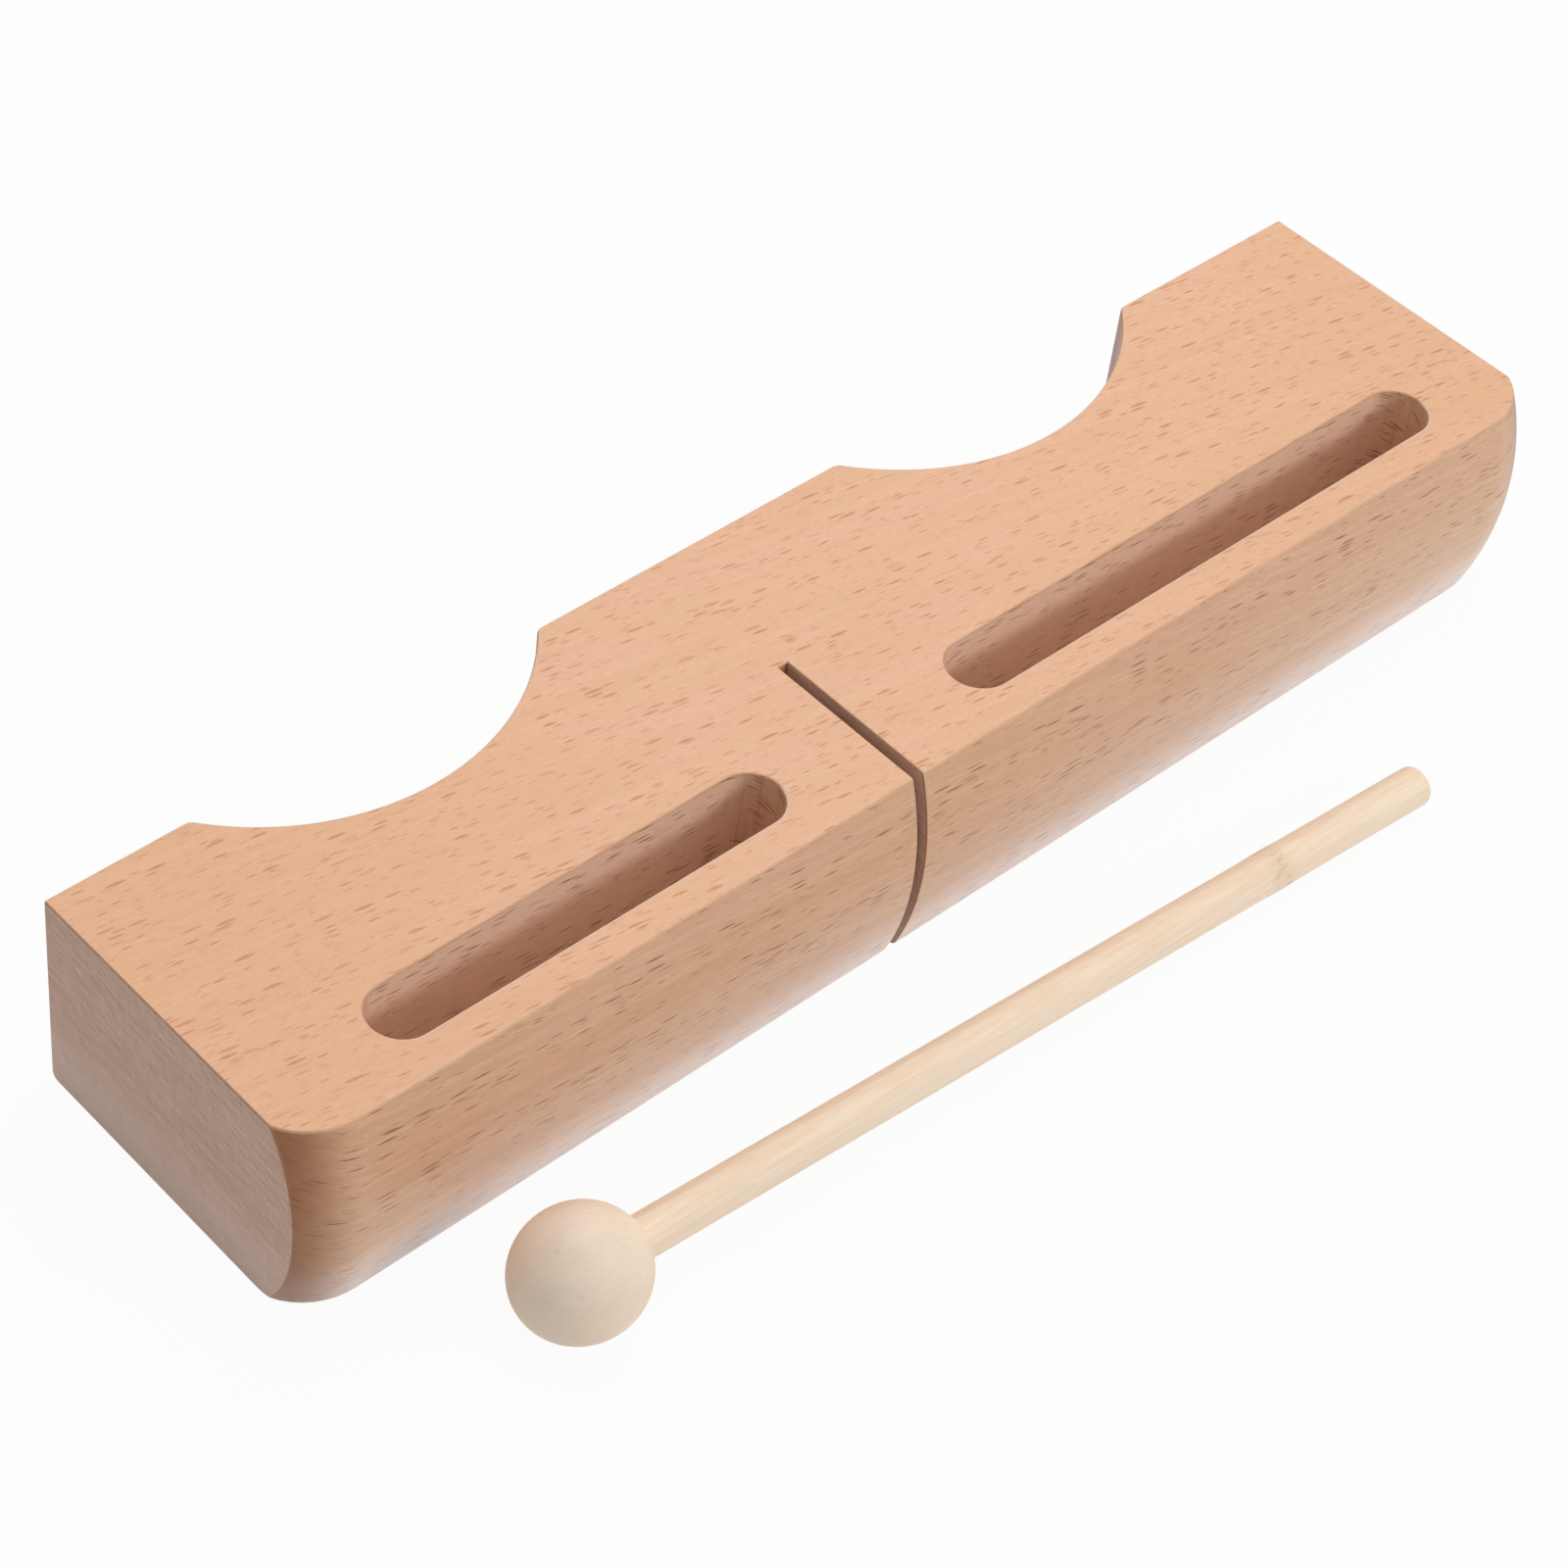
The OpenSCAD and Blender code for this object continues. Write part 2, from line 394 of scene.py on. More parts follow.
def mark_milled(bm):
    """Marks the walls, floors and rims of the slots, which keep their cutter marks."""
    mark = bm.faces.layers.float.new("milled")
    count = 0
    for face in bm.faces:
        spot = face.calc_center_median()
        in_width = abs(spot.y - SLOT_Y) < SLOT_W / 2 + ARRIS
        in_length = any(start - ARRIS < spot.x < end + ARRIS for start, end in (SHORT_SLOT, LONG_SLOT))
        on_top = face.normal.z > FACES_UP and spot.z > HEIGHT - NEAR
        if in_width and in_length and spot.z > SLOT_FLOOR - CRUMB and not on_top:
            face[mark] = 1.0
            count += 1
    return count


def finish_piece(bm, name):
    """Scales a drawing to metres, smooths it and puts it into the scene."""
    bmesh.ops.remove_doubles(bm, verts=bm.verts, dist=SAME)
    for face in bm.faces:
        face.smooth = True
    bmesh.ops.scale(bm, verts=bm.verts, vec=(MM, MM, MM))
    piece = add_piece(bm, name)
    flat = piece.modifiers.new("keep_flats_flat", "WEIGHTED_NORMAL")
    flat.keep_sharp = False
    print(name, "has", len(piece.data.polygons), "faces")
    return piece


sanded = bmesh.new()
sanded.from_mesh(block.data)
bpy.data.objects.remove(block)
bmesh.ops.remove_doubles(sanded, verts=sanded.verts, dist=CRUMB)
bmesh.ops.dissolve_degenerate(sanded, edges=sanded.edges, dist=CRUMB)
print("sanded", sand_edges(sanded), "edges and marked", mark_milled(sanded), "milled faces")
block = finish_piece(sanded, "beech_block")

# %% [markdown]
# ## The mallet's ball and stick
#
# Both are turned pieces: half a section, spun once round its axis. They are drawn upright, with the ball's
# middle at the origin and the stick pointing up, and then laid down. At rest the ball and the stick's free
# end both touch the floor, so the stick slopes by about two degrees.

# %% Sizes of the mallet
BALL_D, BALL_LENGTH, BORE = 19.5, 20.7, 13.0
STICK_D, STICK_LENGTH, TIP = 6.6, 170.6, 1.0
GAP = 0.05
MALLET_LEFT, MALLET_FRONT, SWING = 93.9, 22.1, 2.0
BALL_PLACE = Vector((-MALLET_LEFT, FRONT - MALLET_FRONT, BALL_D / 2))
bore_r = STICK_D / 2 + GAP
bore_z = BALL_LENGTH / 2 - BORE
tip_z = bore_z + STICK_LENGTH
tip_reach = Vector((tip_z - TIP, STICK_D / 2 - TIP))
slope = math.asin((BALL_D / 2 - TIP) / tip_reach.length) - math.atan2(tip_reach.y, tip_reach.x)
laid = (
    Matrix.Translation(BALL_PLACE)
    @ Matrix.Rotation(-math.radians(SWING), 4, "Z")
    @ Matrix.Rotation(math.pi / 2 + slope, 4, "Y")
)
print("the stick slopes %.2f degrees" % math.degrees(slope))

# %% Spin half a section and lay the piece down


def turn_and_lay(bm, steps, name):
    """Spins half a section round the mallet's axis, lays it down and finishes it."""
    spin_edges(bm, bm.edges[:], (0, 0, 0), 360, steps, whole=True)
    bmesh.ops.remove_doubles(bm, verts=bm.verts, dist=CLOSE)
    bm.transform(laid)
    return finish_piece(bm, name)


# %% Turn the ball
BALL_STEPS, BALL_ROUND = 44, 96
RIM, RIM_DEPTH = 0.3, 0.25
ball = bmesh.new()
pole = ball.verts.new((0, 0, -BALL_D / 2))
rim_angle = math.degrees(math.asin((bore_r + RIM) / (BALL_D / 2)))
rim = arc_from(ball, pole, (0, 0, 0), TO_FRONT, 180 - rim_angle, BALL_STEPS)
bmesh.ops.scale(ball, verts=ball.verts, vec=(1, 1, BALL_LENGTH / BALL_D))
pen = line_to(ball, rim, bore_r, 0, rim.co.z - RIM_DEPTH)
pen = line_to(ball, pen, bore_r, 0, bore_z)
line_to(ball, pen, 0, 0, bore_z)
mallet_ball = turn_and_lay(ball, BALL_ROUND, "mallet_ball")

# %% Turn the stick, with the small swelling where a twig grew
TWIG_PLACE, TWIG_SWELL, TWIG_REACH = 134.5, 0.10, 3.5
STATIONS, TIP_STEPS, STICK_ROUND = 90, 6, 64
stick = bmesh.new()
pen = stick.verts.new((0, 0, bore_z))
pen = line_to(stick, pen, STICK_D / 2, 0, bore_z)
for i in range(1, STATIONS + 1):
    z = bore_z + (STICK_LENGTH - TIP) * i / STATIONS
    swell = TWIG_SWELL * math.exp(-(((z - TWIG_PLACE) / TWIG_REACH) ** 2))
    pen = line_to(stick, pen, STICK_D / 2 + swell, 0, z)
pen = arc_from(stick, pen, (STICK_D / 2 - TIP, 0, tip_z - TIP), TO_FRONT, 90, TIP_STEPS)
line_to(stick, pen, 0, 0, tip_z)
mallet_stick = turn_and_lay(stick, STICK_ROUND, "mallet_rod")

# %% [markdown]
# ## Helpers for the finishes
#
# A finish is a material made of nodes. Effects that several woods share, such as flecks and fibre lines, are
# node groups: recipes with named inputs and outputs. All patterns are laid out in millimetres, so each size
# below can be checked against a ruler. The wood's own patterns follow the grain, and the marks of tools
# follow the block.

# %% Add and wire nodes


def colour(red, green, blue):
    """A colour as read on a screen, from 0 to 255, turned into light values."""
    parts = [c / 255 for c in (red, green, blue)]
    linear = [p / 12.92 if p <= 0.04045 else ((p + 0.055) / 1.055) ** 2.4 for p in parts]
    return (*linear, 1.0)


def add(tree, kind, sockets=None, **settings):
    """Adds a node, chooses its settings, and fills or wires its sockets."""
    made = tree.nodes.new(kind)
    for name, value in settings.items():
        setattr(made, name, value)
    for name, value in (sockets or {}).items():
        if isinstance(value, bpy.types.NodeSocket):
            tree.links.new(value, made.inputs[name])
        else:
            made.inputs[name].default_value = value
    return made


def recipe(name, inputs, outputs):
    """Starts a node group with named inputs and outputs."""
    group = bpy.data.node_groups.new(name, "ShaderNodeTree")
    for label, kind, value in inputs:
        socket = group.interface.new_socket(label, in_out="INPUT", socket_type="NodeSocket" + kind)
        if value is not None:
            socket.default_value = value
    for label, kind in outputs:
        group.interface.new_socket(label, in_out="OUTPUT", socket_type="NodeSocket" + kind)
    return group, add(group, "NodeGroupInput").outputs, add(group, "NodeGroupOutput").inputs


def use(tree, group, sockets):
    """Places a recipe in a finish, with its own values, and gives its first output."""
    return add(tree, "ShaderNodeGroup", sockets, node_tree=group).outputs[0]


# %% Reckon with values and colours


def maths(tree, operation, a, b=0.0, clamp=False):
    """One sum, as a node."""
    return add(tree, "ShaderNodeMath", {0: a, 1: b}, operation=operation, use_clamp=clamp).outputs[0]


def times(tree, first, *others):
    """Multiplies values."""
    for other in others:
        first = maths(tree, "MULTIPLY", first, other)
    return first


def plus(tree, first, *others):
    """Adds values up."""
    for other in others:
        first = maths(tree, "ADD", first, other)
    return first


def all_but(tree, share):
    """What a share leaves of the whole."""
    return maths(tree, "SUBTRACT", 1.0, share)


def mixed(tree, share, a, b):
    """Lays b over a by a share, for colours and for places."""
    return add(tree, "ShaderNodeMix", {0: share, 6: a, 7: b}, data_type="RGBA").outputs[2]


def ramped(tree, value, low, high, new_low=0.0, new_high=1.0):
    """Maps a value from one range to another, smoothly and without overshoot."""
    sockets = {"Value": value, "From Min": low, "From Max": high, "To Min": new_low, "To Max": new_high}
    return add(tree, "ShaderNodeMapRange", sockets, interpolation_type="SMOOTHSTEP").outputs[0]


# %% Reckon with places


def vectors(tree, operation, a, b):
    """One sum with two vectors, as a node."""
    return add(tree, "ShaderNodeVectorMath", {0: a, 1: b}, operation=operation).outputs[0]


def in_millimetres(tree, vector):
    """A place in millimetres instead of metres."""
    return add(tree, "ShaderNodeVectorMath", {0: vector, "Scale": 1 / MM}, operation="SCALE").outputs[0]


def stretched(tree, vector, x, y, z):
    """Divides a place by a size in each direction, so that a pattern gets that size."""
    return vectors(tree, "MULTIPLY", vector, (1 / x, 1 / y, 1 / z))


def shifted(tree, vector, x, y, z):
    """Moves a place, so that a second pattern differs from the first."""
    return vectors(tree, "ADD", vector, (x, y, z))


def turned(tree, vector, rotation):
    """Turns a place about the origin."""
    return add(tree, "ShaderNodeMapping", {"Vector": vector, "Rotation": rotation}).outputs[0]


def in_degrees(x, y, z):
    """A turn about each axis, given in degrees."""
    return (math.radians(x), math.radians(y), math.radians(z))


def cloud(tree, vector, detail=2.0):
    """Soft patches, from 0 to 1."""
    return add(tree, "ShaderNodeTexNoise", {"Vector": vector, "Scale": 1.0, "Detail": detail}).outputs["Fac"]


# %% Start and hand out a finish


def new_finish(name):
    """Starts a finish and gives its tree, its shader and the places and directions it can read."""
    finish = bpy.data.materials.new(name)
    finish.use_nodes = True
    tree = finish.node_tree
    return finish, tree, tree.nodes["Principled BSDF"], add(tree, "ShaderNodeTexCoord").outputs


def read_mark(tree, name):
    """A mark that was left on a piece's faces."""
    return add(tree, "ShaderNodeAttribute", attribute_name=name, attribute_type="GEOMETRY").outputs["Fac"]


def raise_grain(tree, wood, height, strength, depth):
    """Turns a height into relief, with its depth in millimetres."""
    relief = add(tree, "ShaderNodeBump", {"Height": height, "Strength": strength, "Distance": depth * MM})
    tree.links.new(relief.outputs[0], wood.inputs["Normal"])


def say(tree, what):
    """Tells how many nodes a finish has so far."""
    print(what + ":", len(tree.nodes), "nodes")


def put_on(finish, piece):
    """Puts a finish on a piece."""
    piece.data.materials.clear()
    piece.data.materials.append(finish)
    say(finish.node_tree, finish.name + " on " + piece.name)


# %% [markdown]
# ## What makes beech look like beech
#
# The fibres run along the board but not dead straight, and the board isn't cut quite parallel to them. The
# first recipe turns a place on the block into a place in the tree, in millimetres, and lets it drift a
# little. Every pattern of the wood is then drawn in that frame, so all of them lean the same way.
#
# Beech has rays: thin plates of soft tissue that stand in the wood like pages. A sawn face cuts them. Cut
# along their edge they show as thin dark dashes, as on the block's front. Cut at a slant they show as soft,
# wider spindles, as on its top. Both come from one recipe: thin lens-shaped cells that fill the solid. Each
# cell of a Voronoi texture draws three lots: whether it holds a ray, how long the ray is and how dark.

# %% Recipe: the board's own directions in millimetres
WAVE_SIZE = (70, 18, 18)
DRIFT = (0.0, 1.5, 1.0)
board, given, result = recipe(
    "board_directions",
    [("Place", "Vector", None), ("Tilt", "Vector", (0, 0, 0))],
    [("Place", "Vector")],
)
tilted = turned(board, in_millimetres(board, given["Place"]), given["Tilt"])
wave = {"Vector": stretched(board, tilted, *WAVE_SIZE), "Scale": 1.0, "Detail": 1.0}
bend = add(board, "ShaderNodeTexNoise", wave).outputs["Color"]
drift = vectors(board, "MULTIPLY", vectors(board, "SUBTRACT", bend, (0.5, 0.5, 0.5)), DRIFT)
board.links.new(vectors(board, "ADD", tilted, drift), result["Place"])
say(board, board.name)

# %% Recipe: ray flecks
RAY_LENGTHS, RAY_FORCES = (0.65, 1.2), (0.3, 1.0)
RAY_CORE = 0.84
flecks, given, result = recipe(
    "ray_flecks",
    [
        ("Place", "Vector", None),
        ("Spacing", "Vector", (5.2, 6.0, 0.36)),
        ("Plenty", "Float", 0.85),
        ("Size", "Float", 0.31),
    ],
    [("Mask", "Float")],
)
cell_place = vectors(flecks, "DIVIDE", given["Place"], given["Spacing"])
cells = add(
    flecks,
    "ShaderNodeTexVoronoi",
    {"Vector": cell_place, "Scale": 1.0, "Exponent": 1.45, "Randomness": 0.8},
    feature="F1",
    distance="MINKOWSKI",
).outputs
lots = add(flecks, "ShaderNodeSeparateColor", {"Color": cells["Color"]}).outputs
reach = times(flecks, given["Size"], ramped(flecks, lots["Green"], 0, 1, *RAY_LENGTHS))
lens = ramped(flecks, cells["Distance"], reach, times(flecks, reach, RAY_CORE))
gate = maths(flecks, "LESS_THAN", lots["Red"], given["Plenty"])
force = ramped(flecks, lots["Blue"], 0, 1, *RAY_FORCES)
flecks.links.new(times(flecks, lens, gate, force), result["Mask"])
say(flecks, flecks.name)

# %% [markdown]
# ## Fibre lines
#
# Fibres are long and very thin, so a noise texture whose place is divided by a long, thin size draws them.
# The same recipe with other sizes also draws broad bands, short pores, the lines that a saw leaves across
# the ends and the chatter of the slots' cutter. Its lines run from -1, a dark hollow, to 1, a pale ridge.

# %% Recipe: fibre lines
fibres, given, result = recipe(
    "fibre_lines",
    [("Place", "Vector", None), ("Size", "Vector", (14.0, 0.25, 0.14)), ("Detail", "Float", 3.0)],
    [("Lines", "Float")],
)
fibre_place = vectors(fibres, "DIVIDE", given["Place"], given["Size"])
fibre = {"Vector": fibre_place, "Scale": 1.0, "Detail": given["Detail"], "Roughness": 0.6}
fibre_noise = add(fibres, "ShaderNodeTexNoise", fibre).outputs["Fac"]
fibres.links.new(ramped(fibres, fibre_noise, 0.25, 0.75, -1.0, 1.0), result["Lines"])
say(fibres, fibres.name)

# %% [markdown]
# ## The block's finish: planed, sanded and lightly lacquered beech
#
# The top is a warm pinkish tan with soft brown spindles. The front shows the same rays on edge, thinner and
# darker, and its foot is painted pale and streaky, a painted reflection of the white floor. The ends are end
# grain: sawn across the pores, they are darker and greyer and drink up the lacquer, and they are painted
# paler towards the base as painted floor light. The slots keep the cutter's chatter and a little dust, their
# walls get painted light, and their front rims a painted highlight. The surface normal and two marks tell
# which is which.
#
# The grain doesn't run quite parallel to the block, and it leans one way on the top and another way on the
# front. So the board's directions are worked out twice, once for flat faces and once for upright ones.
#
# The finish is one long blend. It starts from the plain wood, and each step lays one more thing over it.

# %% Beech: which face is which
FLAT_TO_UPRIGHT = (0.95, 0.5)
SLANT_TO_END = (0.05, 0.75)
SAWN_END = (0.93, 0.99)
beech, tree, wood, spot = new_finish("sanded_beech")
plain = in_millimetres(tree, spot["Object"])
where = add(tree, "ShaderNodeSeparateXYZ", {"Vector": plain}).outputs
facing = add(tree, "ShaderNodeSeparateXYZ", {"Vector": spot["Normal"]}).outputs
facing_end = maths(tree, "ABSOLUTE", facing["X"])
facing_flat = maths(tree, "ABSOLUTE", facing["Z"])
upright = ramped(tree, facing_flat, *FLAT_TO_UPRIGHT)
level = all_but(tree, upright)
milled = read_mark(tree, "milled")
arris = read_mark(tree, "arris")
outside = all_but(tree, milled)
end_grain = times(tree, ramped(tree, facing_end, *SAWN_END), outside)
slanted = times(tree, ramped(tree, facing_end, *SLANT_TO_END), outside)
say(tree, "beech, faces told apart")

# %% Beech: which way the grain runs
FLAT_TILT = in_degrees(-25, 3.6, 7.7)
UPRIGHT_TILT = in_degrees(-25, -4.2, 0)
UPRIGHT_STRETCH = 1.3
seen_flat = use(tree, board, {"Place": spot["Object"], "Tilt": FLAT_TILT})
seen_upright = use(tree, board, {"Place": spot["Object"], "Tilt": UPRIGHT_TILT})
place = mixed(tree, upright, seen_flat, stretched(tree, seen_upright, UPRIGHT_STRETCH, 1, 1))
say(tree, "beech, grain laid out")

# %% Beech: the plain wood, yellower towards the left end
TAN, RICH_TAN, YELLOW_TAN = colour(237, 184, 142), colour(239, 185, 147), colour(233, 175, 130)
PATCH_SIZE = (30, 7, 4)
YELLOW_FROM, YELLOW_TO, YELLOW_SHARE = -30, -110, 0.5
patch = ramped(tree, cloud(tree, stretched(tree, place, *PATCH_SIZE), detail=3.0), 0.38, 0.62)
tone = mixed(tree, patch, TAN, RICH_TAN)
yellower = times(tree, ramped(tree, where["X"], YELLOW_FROM, YELLOW_TO, 0, YELLOW_SHARE), level)
tone = mixed(tree, yellower, tone, YELLOW_TAN)
say(tree, "beech, plain wood")

# %% Beech: fibre lines and broad bands, stronger on the front
DARK_LINE, PALE_LINE, BROWN_SHADE = colour(170, 112, 80), colour(250, 218, 192), colour(118, 110, 74)
BAND_SIZE = (80.0, 2.2, 0.9)
LINE_SHARE, BAND_SHARE = 0.55, 0.45
CONTRAST, FRONT_EXTRA, SHADE_SHARE = 0.07, 0.16, 0.17
lines = use(tree, fibres, {"Place": place})
bands = use(tree, fibres, {"Place": shifted(tree, place, 7, 3, 5), "Size": BAND_SIZE, "Detail": 2.0})
line_depth = plus(tree, times(tree, lines, LINE_SHARE), times(tree, bands, BAND_SHARE))
contrast = plus(tree, times(tree, upright, FRONT_EXTRA), CONTRAST)
tone = mixed(tree, times(tree, ramped(tree, line_depth, 0.7, -0.7), contrast), tone, DARK_LINE)
tone = mixed(tree, times(tree, ramped(tree, line_depth, 0.1, 0.9), contrast), tone, PALE_LINE)
tone = mixed(tree, times(tree, upright, SHADE_SHARE), tone, BROWN_SHADE)
say(tree, "beech, with fibre lines")

# %% Beech: painted light on the slots' walls, the pores and a painted floor glow on the foot
PAINTED_WALL_LIGHT, PORE, PAINTED_FLOOR_GLOW = colour(254, 222, 199), colour(164, 104, 72), colour(242, 221, 211)
PORE_SIZE, PORE_SHARE = (1.4, 0.16, 0.1), 0.16
FLOOR_GLOW_TOP, FLOOR_GLOW_FULL, LEAST_FLOOR_GLOW, MOST_FLOOR_GLOW = 15, 3, 0.35, 0.8
SIDE_SHARE, ROUND_END_SHARE = 0.8, 0.3
# Painted light: the slots' walls are painted paler, most on their long sides and less on their round ends, in
# place of light that the lamps don't bring down into the slots.
brightened = ramped(tree, facing_end, 0.1, 0.9, SIDE_SHARE, ROUND_END_SHARE)
walls = times(tree, milled, all_but(tree, arris), brightened)
tone = mixed(tree, walls, tone, PAINTED_WALL_LIGHT)
pores = use(tree, fibres, {"Place": place, "Size": PORE_SIZE, "Detail": 1.0})
tone = mixed(tree, ramped(tree, pores, -0.2, -0.9, 0.0, PORE_SHARE), tone, PORE)
# Painted reflection: the front is painted pale and streaky towards its foot, in place of the white floor's
# reflection and bounce light.
low_down = times(tree, ramped(tree, where["Z"], FLOOR_GLOW_TOP, FLOOR_GLOW_FULL), upright)
floor_glow = times(tree, low_down, ramped(tree, lines, -0.9, 0.7, LEAST_FLOOR_GLOW, MOST_FLOOR_GLOW))
tone = mixed(tree, floor_glow, tone, PAINTED_FLOOR_GLOW)
say(tree, "beech, with fresh walls, pores and scuffs")

# %% [markdown]
# ## The rays on the block
#
# The flat faces get the recipe's own broad spindles. The upright faces get a set of their own, smaller and
# driven harder, so that the dashes stay thin and dark. A fainter, closer set lies between the large rays on
# both. The strongest ray at a point wins, as it does in wood, where rays don't pile up.

# %% Beech: the ray flecks
SPINDLE, DASH = colour(188, 104, 44), colour(134, 72, 36)
DASH_GAIN = 1.8
SMALL_SHARES, FLECK_SHARES = (0.65, 0.3), (0.62, 0.92)
spindles = use(tree, flecks, {"Place": place})
thin = {"Place": shifted(tree, place, 11, 5, 3), "Spacing": (5.2, 6.0, 0.37), "Plenty": 0.88, "Size": 0.26}
dashes = maths(tree, "MULTIPLY", use(tree, flecks, thin), DASH_GAIN, clamp=True)
large = mixed(tree, upright, spindles, dashes)
faint = {"Place": shifted(tree, place, 31, 17, 9), "Spacing": (4.0, 4.5, 0.26), "Plenty": 0.7}
small = times(tree, use(tree, flecks, faint), ramped(tree, upright, 0, 1, *SMALL_SHARES))
fleck_share = times(tree, maths(tree, "MAXIMUM", large, small), ramped(tree, upright, 0, 1, *FLECK_SHARES))
tone = mixed(tree, fleck_share, tone, mixed(tree, upright, SPINDLE, DASH))
say(tree, "beech, with rays")

# %% Beech: the cutter's chatter and the dust in the slots
CHATTER, DUST = colour(120, 76, 50), colour(255, 236, 220)
CHATTER_SIZE, CHATTER_SHARE = (0.55, 0.55, 30.0), 0.16
SPECK_SIZE, DUST_SHARE = (0.45, 0.45, 0.45), 0.6
DUST_TOP, DUST_FULL = 33, 27
chatter = use(tree, fibres, {"Place": plain, "Size": CHATTER_SIZE, "Detail": 1.0})
chatter = times(tree, chatter, milled, ramped(tree, facing_end, 0.0, 0.4))
tone = mixed(tree, ramped(tree, chatter, 0.0, -1.0, 0.0, CHATTER_SHARE), tone, CHATTER)
specks = ramped(tree, cloud(tree, stretched(tree, plain, *SPECK_SIZE), detail=1.0), 0.66, 0.72)
dust = times(tree, milled, ramped(tree, where["Z"], DUST_TOP, DUST_FULL), specks, DUST_SHARE)
tone = mixed(tree, dust, tone, DUST)
say(tree, "beech, with chatter and dust")

# %% Beech: the brown front corners
SANDED_BROWN = colour(142, 82, 40)
CORNER_SHARE, SIDE_EDGE_SHARE, TOP_EDGE_SHARE = 0.8, 0.75, 0.35
on_arris = ramped(tree, facing_flat, 0.15, 0.5, SIDE_EDGE_SHARE, TOP_EDGE_SHARE)
brown = times(tree, slanted, ramped(tree, arris, 0, 1, CORNER_SHARE, on_arris))
tone = mixed(tree, brown, tone, SANDED_BROWN)
say(tree, "beech, with brown corners")

# %% [markdown]
# ## The sawn ends
#
# Three sets of lines cross on the ends: the rays, which lean with the board, the scratches of the saw, which
# run along the block's depth with a small lean of their own, and the faint upright marks of its teeth.

# %% Beech: the end grain
END_DARK, END_PALE, END_FLOOR_LIGHT = colour(192, 156, 138), colour(227, 191, 172), colour(238, 213, 198)
SAW_LEAN = in_degrees(-3, 0, 0)
RAY_SIZE, SAW_SIZE, TOOTH_SIZE = (1.5, 2.4, 0.22), (1.5, 8.0, 0.14), (1.5, 0.3, 9.0)
RAY_SHARE, SAW_SHARE, TOOTH_SHARE = 0.4, 0.45, 0.1
END_LIGHT_TOP, END_LIGHT_FULL, END_LIGHT_SHARE = 18, 3, 0.5
ray_lines = use(tree, fibres, {"Place": place, "Size": RAY_SIZE, "Detail": 3.0})
saw_lines = use(tree, fibres, {"Place": turned(tree, plain, SAW_LEAN), "Size": SAW_SIZE, "Detail": 3.0})
teeth = use(tree, fibres, {"Place": plain, "Size": TOOTH_SIZE, "Detail": 2.0})
end_depth = plus(
    tree,
    times(tree, ray_lines, RAY_SHARE),
    times(tree, saw_lines, SAW_SHARE),
    times(tree, teeth, TOOTH_SHARE),
)
end_tone = mixed(tree, ramped(tree, end_depth, -0.6, 0.6), END_DARK, END_PALE)
# Painted light: the ends are painted paler towards the base, in place of light bounced up from the floor.
end_floor_light = ramped(tree, where["Z"], END_LIGHT_TOP, END_LIGHT_FULL, 0, END_LIGHT_SHARE)
end_tone = mixed(tree, end_floor_light, end_tone, END_FLOOR_LIGHT)
tone = mixed(tree, end_grain, tone, end_tone)
say(tree, "beech, with end grain")

# %% Beech: the rubbed edges and the painted highlight on the slots' front rims
RUBBED, PAINTED_RIM_HIGHLIGHT = colour(244, 212, 188), colour(255, 236, 218)
WEAR_SIZE = (9, 2, 3)
LEAST_WEAR, MOST_WEAR, RIM_HIGHLIGHT_SHARE = 0.05, 0.3, 0.7
wear = ramped(tree, cloud(tree, stretched(tree, plain, *WEAR_SIZE)), 0.35, 0.65, LEAST_WEAR, MOST_WEAR)
rubbed = times(tree, arris, wear, ramped(tree, facing_end, 0.5, 0.15))
tone = mixed(tree, rubbed, tone, RUBBED)
# Painted highlight: the slots' front rims, whose edges face the back, are painted near white where they catch
# the light.
rim_highlight = times(tree, arris, milled, ramped(tree, facing["Y"], 0, 0.2, 0, RIM_HIGHLIGHT_SHARE))
tone = mixed(tree, rim_highlight, tone, PAINTED_RIM_HIGHLIGHT)
tree.links.new(tone, wood.inputs["Base Color"])
say(tree, "beech, with rubbed edges")

# %% [markdown]
# ## Lacquer and relief
#
# The lacquer is the shader's coat. It is full on the front, thinner where the wood drank it up or where hands
# and sandpaper wore it: the ends, the corners, the slots and the flat faces. Fibres stand up by hundredths of
# a millimetre and rays lie a little deeper, which a bump node draws without any more mesh.

# %% Beech: lacquer and relief
END_SOAK, CORNER_SOAK, SLOT_SOAK, TOP_WEAR = 0.3, 0.6, 0.6, 0.4
HOLLOW_ROUGH, RIDGE_ROUGH, END_ROUGHER = 0.52, 0.42, 0.15
LINE_RISE, FLECK_DIP, CHATTER_RISE = 0.5, 0.5, 0.8
soaked = plus(
    tree,
    times(tree, end_grain, END_SOAK),
    times(tree, slanted, CORNER_SOAK),
    times(tree, milled, SLOT_SOAK),
    times(tree, level, TOP_WEAR),
)
tree.links.new(maths(tree, "SUBTRACT", 1.0, soaked, clamp=True), wood.inputs["Coat Weight"])
wood.inputs["Coat Roughness"].default_value = 0.3
wood.inputs["Coat IOR"].default_value = 1.5
wood.inputs["Specular IOR Level"].default_value = 0.12
rough = ramped(tree, line_depth, -1, 1, HOLLOW_ROUGH, RIDGE_ROUGH)
tree.links.new(plus(tree, rough, times(tree, end_grain, END_ROUGHER)), wood.inputs["Roughness"])
rays_dip = times(tree, fleck_share, FLECK_DIP)
long_height = maths(tree, "SUBTRACT", times(tree, lines, LINE_RISE), rays_dip)
height = plus(
    tree,
    times(tree, long_height, all_but(tree, end_grain)),
    times(tree, end_depth, end_grain),
    times(tree, chatter, CHATTER_RISE),
)
raise_grain(tree, wood, height, strength=0.4, depth=0.05)
